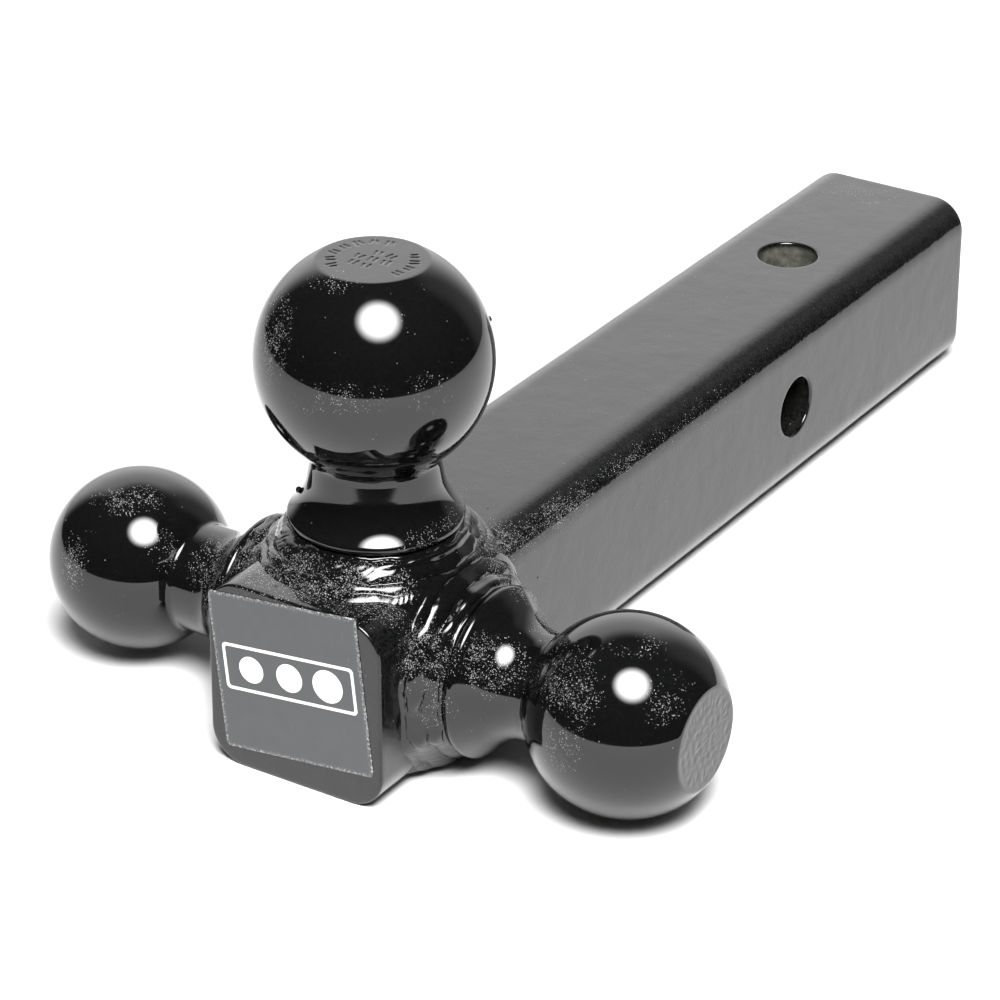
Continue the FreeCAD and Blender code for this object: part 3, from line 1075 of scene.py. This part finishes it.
def label_outline():
    """Points round the film, evenly spaced, with rounded corners."""
    half_x, half_z = LABEL_WIDTH / 2 - LABEL_CORNER, LABEL_HEIGHT / 2 - LABEL_CORNER
    corners = ((half_x, half_z), (-half_x, half_z), (-half_x, -half_z), (half_x, -half_z))
    line = []
    for quarter, corner in enumerate(corners):
        line.append(arc_points(corner, LABEL_CORNER, quarter * 90, quarter * 90 + 90, 12))
    line = np.concatenate(line + [line[0][:1]])
    lengths = np.append(0, np.cumsum(np.linalg.norm(np.diff(line, axis=0), axis=1)))
    at = lengths[-1] * np.arange(OUTLINE_POINTS) / OUTLINE_POINTS
    return np.stack([np.interp(at, lengths, line[:, i]) for i in range(2)], axis=1)


def build_label():
    """Self-adhesive film with a scuffed edge, curled back where it reaches past the bar."""
    low, high = (mm(corner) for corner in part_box("label_film"))
    centre = (low + high) / 2
    outline = label_outline()
    near_edge = [0, 0.12, 0.3, 0.6, 1.0, 1.6]
    insets = np.concatenate([near_edge, np.linspace(2.6, LABEL_HEIGHT / 2, 24)])
    shares = 1 - insets / (LABEL_HEIGHT / 2)
    spin = np.array([[math.cos(LABEL_TURN), math.sin(LABEL_TURN)],
                     [-math.sin(LABEL_TURN), math.cos(LABEL_TURN)]])
    plane = (shares[:, None, None] * outline[None]) @ spin + centre[[0, 2]]
    flat = np.stack([plane[..., 0], np.zeros(plane.shape[:2]), plane[..., 1]], axis=-1)
    past = np.maximum(-bar_depth(flat.reshape(-1, 3)), 0).reshape(plane.shape[:2])
    curl = 0.35 * past ** 1.5
    ripple = 0.006 * (1 + waves(flat.reshape(-1, 3), 7.0, 501)).reshape(plane.shape[:2])
    cut_edge = 0.05 * (insets[:, None] == 0)
    front, back = flat.copy(), flat.copy()
    front[..., 1] = low[1] + np.clip(ripple, 0, 0.02) + cut_edge + curl
    back[..., 1] = high[1] + curl
    sheets = Sheets()
    sheets.add(front, closed=True)
    sheets.add(back, closed=True)
    sheets.add(np.stack([front[0], back[0]]), closed=True)
    points, faces = sheets.merged()
    faces = outward_faces(points, faces)
    inset = LABEL_HEIGHT / 2 * (1 - edge_share(points, centre, spin))
    piece = make_piece("label_skin", points, faces, FILM,
                       {"edge": 1 - step(inset, 0.1, 1.1)})
    piece.data.set_sharp_from_angle(angle=math.radians(40))
    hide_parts("label_film")


def edge_share(points, centre, spin):
    """How far out on the film a point lies, 1 at its edge."""
    local = (points[:, [0, 2]] - centre[[0, 2]]) @ spin.T
    return np.max(np.abs(local) / [LABEL_WIDTH / 2, LABEL_HEIGHT / 2], axis=1)


# ------------------------ stage, light and camera

FLOOR_GREY = 0.88
FLOOR_REACH = 0.80
FLOOR_CENTRE = Vector((-0.18, 0.11))
FLOOR_CORNERS = 96


def build_stage():
    """Round pale floor under the object."""
    material, n = new_material("studio_floor")
    shader = n.new("ShaderNodeBsdfDiffuse", {"Color": grey(FLOOR_GREY)})
    n.finish("ShaderNodeOutputMaterial", shader)
    floor_z = bar_low[2] * MM
    turns = [TURN * i / FLOOR_CORNERS for i in range(FLOOR_CORNERS)]
    rim = [(FLOOR_CENTRE.x + FLOOR_REACH * math.cos(turn),
            FLOOR_CENTRE.y + FLOOR_REACH * math.sin(turn), floor_z) for turn in turns]
    mesh = bpy.data.meshes.new("studio_floor")
    mesh.from_pydata(rim, [], [list(range(FLOOR_CORNERS))])
    mesh.materials.append(material)
    floor = bpy.data.objects.new("studio_floor", mesh)
    bpy.context.scene.collection.objects.link(floor)


# Softbox: a disc that is bright in the middle and fades from FADE_START of its width to its
# edge.
SOFTBOX_WIDTH = 1.18
SOFTBOX_POWER = 34.0
SOFTBOX_PLACE = Vector((0.491, -0.689, 1.288))
SOFTBOX_AIM = Vector((0.0, BALL_Y * MM, 0.02))
FADE_START = 0.22


def build_light():
    data = bpy.data.lights.new("softbox", "AREA")
    data.shape = "DISK"
    data.size = SOFTBOX_WIDTH
    data.energy = SOFTBOX_POWER * math.pi * (data.size / 2) ** 2 * math.pi
    n = empty_nodes(data)
    spot = n.new("ShaderNodeNewGeometry").outputs["Parametric"]
    centred = n.new("ShaderNodeVectorMath", {0: spot, 1: (0.5, 0.5, 0.0)}, operation="SUBTRACT")
    flat = n.scaled(centred.outputs[0], (1.0, 1.0, 0.0))
    reach = n.new("ShaderNodeVectorMath", {0: flat}, operation="LENGTH").outputs["Value"]
    strength = n.ramp(reach, FADE_START, 0.5, 1.0, 0.0)
    emit = n.new("ShaderNodeEmission", {"Color": WHITE, "Strength": strength})
    n.finish("ShaderNodeOutputLight", emit)
    lamp = bpy.data.objects.new("softbox", data)
    lamp.location = SOFTBOX_PLACE
    lamp.rotation_mode = "QUATERNION"
    lamp.rotation_quaternion = (SOFTBOX_AIM - SOFTBOX_PLACE).to_track_quat("-Z", "Y")
    bpy.context.scene.collection.objects.link(lamp)


# The room's big pale sheet: where its left, right and top edges fade, and how its light falls
# off to the right and towards the floor. Angles are degrees of azimuth from +Y towards +X, or
# of elevation, and the rest is brightness. A camera ray sees plain white.
SHEET_LEFT = (-84, -62)
SHEET_RIGHT = (22, 40)
SHEET_TOP = (39, 59)
SHEET_FALL = (-18, 14)
SHEET_FALL_TO = 0.18
SHEET_GLOW = (-14, 18)
SHEET_GLOW_RANGE = (1.05, 1.82)
ROOM = (-10, 60)
ROOM_RANGE = (0.03, 0.08)
DIFFUSE_SHARE = 0.34


def build_world():
    world = bpy.data.worlds.new("studio")
    bpy.context.scene.world = world
    n = empty_nodes(world)
    way = n.new("ShaderNodeTexCoord").outputs["Generated"]
    x, y, z = n.new("ShaderNodeSeparateXYZ", {0: way}).outputs
    azimuth = n.math("ARCTAN2", x, y)
    elevation = n.math("ARCSINE", z)

    def between(angle, degrees, start=0.0, end=1.0):
        low, high = degrees
        return n.ramp(angle, math.radians(low), math.radians(high), start, end)

    left = between(azimuth, SHEET_LEFT)
    right = between(azimuth, SHEET_RIGHT, 1.0, 0.0)
    top = between(elevation, SHEET_TOP, 1.0, 0.0)
    sheet = n.math("MULTIPLY", n.math("MULTIPLY", left, right), top)
    fall = between(azimuth, SHEET_FALL, 1.0, SHEET_FALL_TO)
    glow = n.math("MULTIPLY", fall, between(elevation, SHEET_GLOW, *SHEET_GLOW_RANGE))
    light = n.blend(sheet, between(elevation, ROOM, *ROOM_RANGE), glow)
    path = n.new("ShaderNodeLightPath")
    light = n.math("MULTIPLY", light, n.blend(path.outputs["Is Diffuse Ray"], 1.0, DIFFUSE_SHARE))
    light = n.blend(path.outputs["Is Camera Ray"], light, 1.0)
    back = n.new("ShaderNodeBackground", {"Color": WHITE, "Strength": light})
    n.finish("ShaderNodeOutputWorld", back)


# The camera's place in metres, and the directions to its right, up and back.
CAMERA_PLACE = Vector((0.49263, -0.88204, 0.48967))
CAMERA_RIGHT = Vector((0.84143, 0.54036, 0.00269))
CAMERA_UP = Vector((-0.25199, 0.38797, 0.88656))
CAMERA_BACK = Vector((0.47802, -0.74665, 0.46262))


def build_camera():
    data = bpy.data.cameras.new("camera")
    data.lens = 143.91
    data.sensor_width = 36.0
    data.clip_start = 0.01
    data.clip_end = 50.0
    camera = bpy.data.objects.new("camera", data)
    matrix = Matrix((CAMERA_RIGHT, CAMERA_UP, CAMERA_BACK)).transposed().to_4x4()
    matrix.translation = CAMERA_PLACE
    camera.matrix_world = matrix
    bpy.context.scene.collection.objects.link(camera)
    bpy.context.scene.camera = camera


build_camera()
build_stage()
build_light()
build_world()
bpy.context.scene.view_settings.view_transform = "Standard"

bar = build_bar()
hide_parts("shank_bar")
for seed, (name, ball) in enumerate(BALLS.items(), FIRST_BALL_SEED):
    build_ball(name, ball, seed)
    build_weld(name, ball)

build_label()
ink = frame["nodes"]["label_ink"].data
ink.materials.clear()
ink.materials.append(INK)
